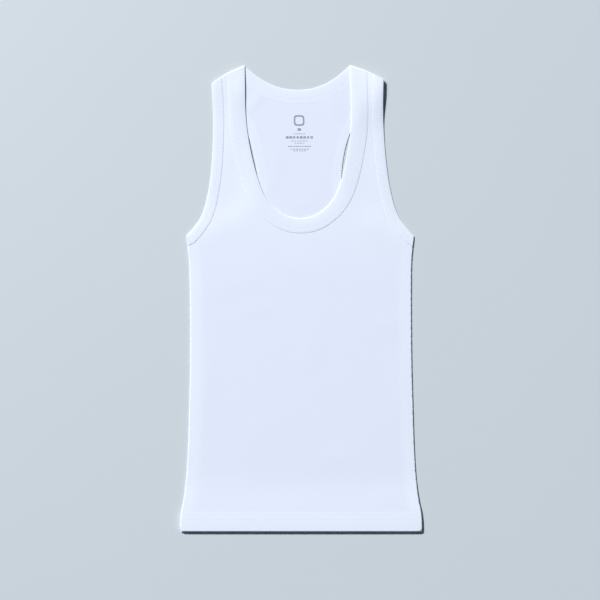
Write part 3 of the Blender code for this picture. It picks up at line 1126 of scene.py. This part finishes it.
def sew_bindings(thread, bindings, form, face, up):
    """Both needle rows of every binding, on its upper face or on its lower one."""
    shares = {rim.from_seam: rim.height for rim in face}
    for binding in bindings.values():
        for row in NEEDLE_ROWS:
            share = shares[row] if up > 0 else UNDER_SHARE * (1 - shares[row])
            thread.row(binding.at(row), lambda p, s=share: form.base(p) + form.thickness * s, up)


def stitch_front(sizes, material):
    cut = garment_of(sizes)
    thread = Thread(sizes)
    form = band_forms(cut)["front"]
    sew_bindings(thread, cut.front.bindings, form, form.over, 1)
    for line in hem_lines():
        thread.row(line, cut.front_top.at, 1)
    return thread.add("front_stitching", material)


def stitch_back(sizes, material):
    """The back's stitches show on its outer face, and on the inner face of its bindings."""
    cut = garment_of(sizes)
    thread = Thread(sizes)
    form = band_forms(cut)["back"]
    sew_bindings(thread, cut.back.bindings, form, form.over, 1)
    sew_bindings(thread, cut.back.bindings, form, form.below, -1)
    for line in hem_lines():
        thread.row(line, cut.back_low.at, -1)
    return thread.add("back_stitching", material)


# ---------------------------------------------------------------- print

class Ink:
    """Flat marks on the inner face of the back, gathered into one mesh."""

    def __init__(self, sizes):
        self.cut = garment_of(sizes)
        self.pitch, self.depth = sizes.rib_pitch / MM, sizes.rib_depth / MM
        self.vertices, self.faces, self.count = [], [], 0

    def strip(self, left, right, closed):
        """A thin slab between two lines of as many points, or between two loops."""
        flat = np.vstack([left, right])
        groove = rib_groove(flat[:, 0] / self.pitch)
        face = self.cut.back_top.at(flat) - self.depth * groove
        self.vertices += [laid(flat, face + PRINT_LIFT), laid(flat, face - PRINT_LIFT)]
        count, first = len(left), self.count
        rings = [first + count, first, first + 2 * count, first + 3 * count]
        for i in range(count if closed else count - 1):
            j = (i + 1) % count
            for a, b in zip(rings, rings[1:] + rings[:1]):
                self.faces.append((a + i, a + j, b + j, b + i))
        if not closed:
            self.faces.append(tuple(rings))
            self.faces.append(tuple(ring + count - 1 for ring in reversed(rings)))
        self.count += 4 * count

    def bar(self, half, level, width, height):
        count = max(3, round(width / BAR_STEP) + 1)
        across = np.linspace(half - width / 2, half + width / 2, count)
        top = np.stack([across, np.full_like(across, level + height / 2)], axis=1)
        self.strip(top, top - (0.0, height), False)

    def frame(self, level, size, stroke):
        """A square with well rounded corners."""
        turn = np.linspace(0, 2 * np.pi, FRAME_POINTS, endpoint=False)
        way = np.stack([np.cos(turn), np.sin(turn)], axis=1)
        unit = way / (np.abs(way) ** FRAME_POWER).sum(axis=1)[:, None] ** (1 / FRAME_POWER)
        centre = np.array([PRINT_HALF, level])
        self.strip(centre + unit * (size / 2 - stroke), centre + unit * size / 2, True)

    def row(self, mark):
        pitch = mark.width / mark.count
        for k in range(mark.count):
            wide = PRINT_FILL * pitch * (1 + PRINT_UNEVEN * np.cos(BAR_BEAT * k + mark.level))
            half = PRINT_HALF - mark.width / 2 + pitch * (k + 0.5)
            self.bar(half, mark.level, wide if mark.count > 1 else mark.width, mark.height)


def print_neck(sizes, material):
    ink = Ink(sizes)
    ink.frame(PRINT_LEVEL, *PRINT_FRAME)
    for mark in PRINT_ROWS:
        ink.row(mark)
    return add_piece("neck_print", np.vstack(ink.vertices), ink.faces, material)


# ---------------------------------------------------------------- finishes

def add_node(tree, kind, inputs=None, **settings):
    """A node with its settings, its inputs linked where they are sockets and set otherwise."""
    node = tree.nodes.new(kind)
    for name, value in settings.items():
        setattr(node, name, value)
    for name, value in (inputs or {}).items():
        if isinstance(value, bpy.types.NodeSocket):
            tree.links.new(value, node.inputs[name])
        else:
            node.inputs[name].default_value = value
    return node


def calc(tree, operation, *values, clamp=False):
    inputs = dict(enumerate(values))
    return add_node(tree, "ShaderNodeMath", inputs, operation=operation, use_clamp=clamp).outputs[0]


def mix(tree, share, one, other):
    node = add_node(tree, "ShaderNodeMix", {0: share, 6: one, 7: other}, data_type="RGBA")
    return node.outputs[2]


def noise(tree, vector, scale, detail=2.0):
    """Soft noise, its scale given for one metre."""
    inputs = {"Vector": vector, "Scale": scale, "Detail": detail, "Roughness": 0.55}
    return add_node(tree, "ShaderNodeTexNoise", inputs).outputs["Fac"]


def attribute(tree, name, output):
    return add_node(tree, "ShaderNodeAttribute", attribute_name=name).outputs[output]


def new_group(name, inputs, outputs):
    """An empty node group with these sockets, and its input and output nodes."""
    group = bpy.data.node_groups.new(name, "ShaderNodeTree")
    for label, kind, default in inputs:
        socket = group.interface.new_socket(label, in_out="INPUT", socket_type=kind)
        if default is not None:
            socket.default_value = default
    for label, kind in outputs:
        group.interface.new_socket(label, in_out="OUTPUT", socket_type=kind)
    given = group.nodes.new("NodeGroupInput").outputs
    result = group.nodes.new("NodeGroupOutput").inputs
    return group, given, result


def knit_group():
    """Loops of the knit in columns, one column to a rib, and the groove between two ribs."""
    name = "Knit Loops"
    if name in bpy.data.node_groups:
        return bpy.data.node_groups[name]
    group, given, result = new_group(
        name,
        [("Knit", "NodeSocketVector", None), ("Loop Depth", "NodeSocketFloat", 0.4),
         ("Slant", "NodeSocketFloat", 1.2)],
        [("Height", "NodeSocketFloat"), ("Groove", "NodeSocketFloat")])
    knit = add_node(group, "ShaderNodeSeparateXYZ", {0: given["Knit"]}).outputs
    centred = calc(group, "ADD", knit[0], 0.5)
    aside = calc(group, "ABSOLUTE", calc(group, "SUBTRACT", calc(group, "FRACT", centred), 0.5))
    groove = add_node(group, "ShaderNodeMapRange", {0: aside, 1: 0.3, 2: 0.5},
                      interpolation_type="SMOOTHSTEP").outputs[0]
    row = calc(group, "MULTIPLY_ADD", aside, given["Slant"], knit[1])
    wave = calc(group, "SINE", calc(group, "MULTIPLY", row, 2 * np.pi))
    rounded = calc(group, "MULTIPLY_ADD", wave, 0.5, 0.5)
    loops = calc(group, "MULTIPLY", rounded, given["Loop Depth"])
    crest = calc(group, "SUBTRACT", 1.0, groove)
    ribs = calc(group, "MULTIPLY", crest, knit[2])
    height = calc(group, "MULTIPLY_ADD", loops, crest, ribs)
    group.links.new(height, result["Height"])
    group.links.new(groove, result["Groove"])
    return group


def tone_group():
    """The cloth's colour: whiter where it is backed, darker by painted shade in the grooves between
    the ribs, and slightly uneven all over."""
    name = "Cloth Tone"
    if name in bpy.data.node_groups:
        return bpy.data.node_groups[name]
    group, given, result = new_group(
        name,
        [("Single", "NodeSocketColor", None), ("Doubled", "NodeSocketColor", None),
         ("Backing", "NodeSocketFloat", 0.0), ("Groove", "NodeSocketFloat", 0.0),
         ("Groove Painted Shade", "NodeSocketFloat", 0.04), ("Unevenness", "NodeSocketFloat", 0.02)],
        [("Color", "NodeSocketColor"), ("Fuzz", "NodeSocketFloat")])
    place = add_node(group, "ShaderNodeTexCoord").outputs["Object"]
    cloth = mix(group, given["Backing"], given["Single"], given["Doubled"])
    broad = calc(group, "MULTIPLY", noise(group, place, scale=26.0), 0.6)
    fine = noise(group, place, scale=900.0, detail=3.0)
    both = calc(group, "ADD", broad, calc(group, "MULTIPLY", fine, 0.4))
    uneven = calc(group, "MULTIPLY", calc(group, "SUBTRACT", both, 0.5), given["Unevenness"])
    # Painted shade: the colour darkens along the rib grooves, by the groove mask.
    shade = calc(group, "MULTIPLY", given["Groove"], given["Groove Painted Shade"])
    bright = calc(group, "SUBTRACT", calc(group, "ADD", 1.0, uneven), shade)
    color = add_node(group, "ShaderNodeVectorMath", {0: cloth}, operation="SCALE")
    group.links.new(bright, color.inputs["Scale"])
    group.links.new(color.outputs[0], result["Color"])
    group.links.new(fine, result["Fuzz"])
    return group


def rgba(colour, share=1.0):
    """The colour, or this share of it, as a colour socket takes it."""
    return (*(share * part for part in colour), 1.0)


def new_material(name, roughness, sheen=0.0):
    material = bpy.data.materials.new(name)
    material.use_nodes = True
    shader = material.node_tree.nodes["Principled BSDF"]
    shader.inputs["Roughness"].default_value = roughness
    shader.inputs["Specular IOR Level"].default_value = 0.25
    shader.inputs["Sheen Weight"].default_value = sheen
    shader.inputs["Sheen Roughness"].default_value = 0.5
    return material, material.node_tree, shader.inputs


def bumped(tree, height, distance, strength=1.0):
    inputs = {"Height": height, "Distance": distance, "Strength": strength}
    return add_node(tree, "ShaderNodeBump", inputs).outputs["Normal"]


def rib_material(name, colours, groove_painted_shade):
    """White cotton rib: soft, matt, with a slight bloom at glancing angles."""
    if name in bpy.data.materials:
        return bpy.data.materials[name]
    material, tree, shader = new_material(name, 0.92, 0.04)
    knit = add_node(tree, "ShaderNodeGroup", node_tree=knit_group())
    tree.links.new(attribute(tree, "knit", "Vector"), knit.inputs["Knit"])
    tone = add_node(tree, "ShaderNodeGroup", node_tree=tone_group())
    tone.inputs["Single"].default_value = rgba(colours.thin_cloth)
    tone.inputs["Doubled"].default_value = rgba(colours.thick_cloth)
    # Painted shade in the grooves between the ribs.
    tone.inputs["Groove Painted Shade"].default_value = groove_painted_shade
    tree.links.new(attribute(tree, "backing", "Fac"), tone.inputs["Backing"])
    tree.links.new(knit.outputs["Groove"], tone.inputs["Groove"])
    tree.links.new(tone.outputs["Color"], shader["Base Color"])
    height = calc(tree, "MULTIPLY_ADD", tone.outputs["Fuzz"], 0.25, knit.outputs["Height"])
    tree.links.new(bumped(tree, height, 0.1 * MM, 0.5), shader["Normal"])
    return material


def thread_material(colours):
    """Twisted thread with a faint gloss, and painted shade between its strands."""
    material, tree, shader = new_material("sewing_thread", 0.7, 0.05)
    strand = attribute(tree, "strand", "Fac")
    twist = calc(tree, "SINE", calc(tree, "MULTIPLY", strand, 2 * np.pi))
    ridge = calc(tree, "MULTIPLY_ADD", twist, 0.5, 0.5)
    # Painted shade: the colour darkens in the troughs between the twisted strands.
    color = mix(tree, ridge, rgba(colours.thread, 0.86), rgba(colours.thread))
    tree.links.new(color, shader["Base Color"])
    tree.links.new(bumped(tree, ridge, 0.05 * MM, 0.6), shader["Normal"])
    return material


def ink_material(colours):
    """Thin grey ink that the knit breaks up a little."""
    material, tree, shader = new_material("neck_ink", 0.7)
    place = add_node(tree, "ShaderNodeTexCoord").outputs["Object"]
    spots = noise(tree, place, scale=1400.0)
    worn = add_node(tree, "ShaderNodeMapRange", {0: spots, 1: 0.5, 2: 0.75})
    faded = tuple(0.55 * ink + 0.45 * cloth for ink, cloth in zip(colours.ink, colours.thin_cloth))
    color = mix(tree, worn.outputs[0], rgba(colours.ink), rgba(faded))
    tree.links.new(color, shader["Base Color"])
    tree.links.new(bumped(tree, noise(tree, place, scale=2200.0), 0.05 * MM, 0.3), shader["Normal"])
    return material


def floor_material(colours):
    """Smooth matt board with a faint tooth."""
    material, tree, shader = new_material("floor_board", 0.95)
    place = add_node(tree, "ShaderNodeTexCoord").outputs["Object"]
    broad = noise(tree, place, scale=5.0)
    fine = noise(tree, place, scale=420.0, detail=4.0)
    both = calc(tree, "MULTIPLY_ADD", fine, 0.5, calc(tree, "MULTIPLY", broad, 0.5))
    color = mix(tree, both, rgba(colours.floor, 0.985), rgba(colours.floor, 1.015))
    tree.links.new(color, shader["Base Color"])
    tree.links.new(bumped(tree, fine, 0.2 * MM, 0.3), shader["Normal"])
    return material


# ---------------------------------------------------------------- stage

def add_light(name, kind, place, aim, **settings):
    light = bpy.data.lights.new(name, kind)
    for label, value in settings.items():
        setattr(light, label, value)
    lamp = bpy.data.objects.new(name, light)
    lamp.location = place
    lamp.rotation_euler = (Vector(aim) - Vector(place)).to_track_quat("-Z", "Y").to_euler()
    bpy.context.scene.collection.objects.link(lamp)
    return lamp


def build_floor(colours):
    mesh = bpy.data.meshes.new("floor")
    signs = ((-1, -1), (1, -1), (1, 1), (-1, 1))
    corners = [(x * FLOOR_HALF, y * FLOOR_HALF, -FLOOR_DROP) for x, y in signs]
    mesh.from_pydata(corners, [], [(0, 1, 2, 3)])
    mesh.materials.append(floor_material(colours))
    floor = bpy.data.objects.new("floor", mesh)
    bpy.context.scene.collection.objects.link(floor)
    floor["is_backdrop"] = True


def build_stage(stage, colours):
    scene = bpy.context.scene
    build_floor(colours)
    add_light("key_light", "SUN", KEY_FROM, (0, 0, 0), energy=stage.key_strength,
              angle=np.radians(KEY_SPREAD), color=KEY_COLOUR)
    add_light("side_light", "AREA", SIDE_FROM, (0, 0, 0), energy=stage.side_power,
              shape="DISK", size=SIDE_SIZE, color=KEY_COLOUR)
    world = bpy.data.worlds.new("soft_room")
    world.use_nodes = True
    background = world.node_tree.nodes["Background"]
    background.inputs["Color"].default_value = SKY_COLOUR
    background.inputs["Strength"].default_value = stage.sky_strength
    scene.world = world
    scene.view_settings.view_transform = "Standard"
    lens = bpy.data.cameras.new("camera")
    lens.lens, lens.sensor_width = CAMERA_LENS, CAMERA_SENSOR
    camera = bpy.data.objects.new("camera", lens)
    distance = stage.view_width * CAMERA_LENS / CAMERA_SENSOR
    camera.location = (CAMERA_ASIDE[0], CAMERA_ASIDE[1], distance)
    scene.collection.objects.link(camera)
    scene.camera = camera


# ---------------------------------------------------------------- operators

class TANK_OT_back_panel(bpy.types.Operator):
    """Build the racer back, flat on the floor"""
    bl_idname = "tank.back_panel"
    bl_label = "Back panel"

    def execute(self, context):
        scene = context.scene
        material = rib_material("body_knit", scene.tank_colours, BODY_GROOVE_PAINTED_SHADE)
        build_back_panel(scene.tank_sizes, material)
        return {"FINISHED"}


class TANK_OT_front_panel(bpy.types.Operator):
    """Build the front, settled on the back"""
    bl_idname = "tank.front_panel"
    bl_label = "Front panel"

    def execute(self, context):
        scene = context.scene
        material = rib_material("body_knit", scene.tank_colours, BODY_GROOVE_PAINTED_SHADE)
        build_front_panel(scene.tank_sizes, material)
        return {"FINISHED"}


class TANK_OT_bindings(bpy.types.Operator):
    """Build the folded bindings of the neck and the armholes"""
    bl_idname = "tank.bindings"
    bl_label = "Bindings"

    def execute(self, context):
        sizes = context.scene.tank_sizes
        material = rib_material("binding_knit", context.scene.tank_colours, BINDING_GROOVE_PAINTED_SHADE)
        cut = garment_of(sizes)
        forms = band_forms(cut)
        for side, layer in (("back", cut.back), ("front", cut.front)):
            for place, binding in layer.bindings.items():
                build_binding(f"{side}_{place}", binding, forms[side], sizes, material)
        return {"FINISHED"}


class TANK_OT_stitching(bpy.types.Operator):
    """Sew the needle rows of the bindings and the hems"""
    bl_idname = "tank.stitching"
    bl_label = "Stitching"

    def execute(self, context):
        material = thread_material(context.scene.tank_colours)
        stitch_back(context.scene.tank_sizes, material)
        stitch_front(context.scene.tank_sizes, material)
        return {"FINISHED"}


class TANK_OT_neck_print(bpy.types.Operator):
    """Print the plain marks inside the back neck"""
    bl_idname = "tank.neck_print"
    bl_label = "Neck print"

    def execute(self, context):
        print_neck(context.scene.tank_sizes, ink_material(context.scene.tank_colours))
        return {"FINISHED"}


class TANK_OT_stage(bpy.types.Operator):
    """Lay the floor, and set the lights and the camera"""
    bl_idname = "tank.stage"
    bl_label = "Stage"

    def execute(self, context):
        build_stage(context.scene.tank_stage, context.scene.tank_colours)
        return {"FINISHED"}


OPERATORS = (
    TANK_OT_back_panel,
    TANK_OT_front_panel,
    TANK_OT_bindings,
    TANK_OT_stitching,
    TANK_OT_neck_print,
    TANK_OT_stage,
)


class TANK_PT_pieces(bpy.types.Panel):
    """The tank top's sizes and colours, and a button for each of its pieces"""
    bl_label = "Tank top"
    bl_idname = "TANK_PT_pieces"
    bl_space_type = "VIEW_3D"
    bl_region_type = "UI"
    bl_category = "Tank top"

    def draw(self, context):
        scene = context.scene
        for settings in (scene.tank_sizes, scene.tank_colours, scene.tank_stage):
            for name in settings.bl_rna.properties.keys():
                if name not in ("rna_type", "name"):
                    self.layout.prop(settings, name)
        for operator in OPERATORS:
            self.layout.operator(operator.bl_idname)


SETTINGS = (("tank_sizes", TankSizes), ("tank_colours", TankColours), ("tank_stage", TankStage))


def register():
    for name, group in SETTINGS:
        bpy.utils.register_class(group)
        setattr(bpy.types.Scene, name, PointerProperty(type=group))
    for member in OPERATORS + (TANK_PT_pieces,):
        bpy.utils.register_class(member)


def unregister():
    for member in reversed(OPERATORS + (TANK_PT_pieces,)):
        bpy.utils.unregister_class(member)
    for name, group in reversed(SETTINGS):
        delattr(bpy.types.Scene, name)
        bpy.utils.unregister_class(group)


# ---------------------------------------------------------------- the whole

def declare_sheets():
    """Looks up the pieces that each cut in SHEETS carries, and keeps nothing."""
    piece = bpy.data.objects
    for name, cut in SHEETS.items():
        on_piece = [piece[other] for other in cut.carries]


def main():
    register()
    for operator in OPERATORS:
        family, _, name = operator.bl_idname.partition(".")
        getattr(getattr(bpy.ops, family), name)()
    declare_sheets()
    boxes = {"cad": CAD_BOX, "visual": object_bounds()}
    {name: [list(corner) for corner in box] for name, box in boxes.items()}


if __name__ == "__main__":
    main()
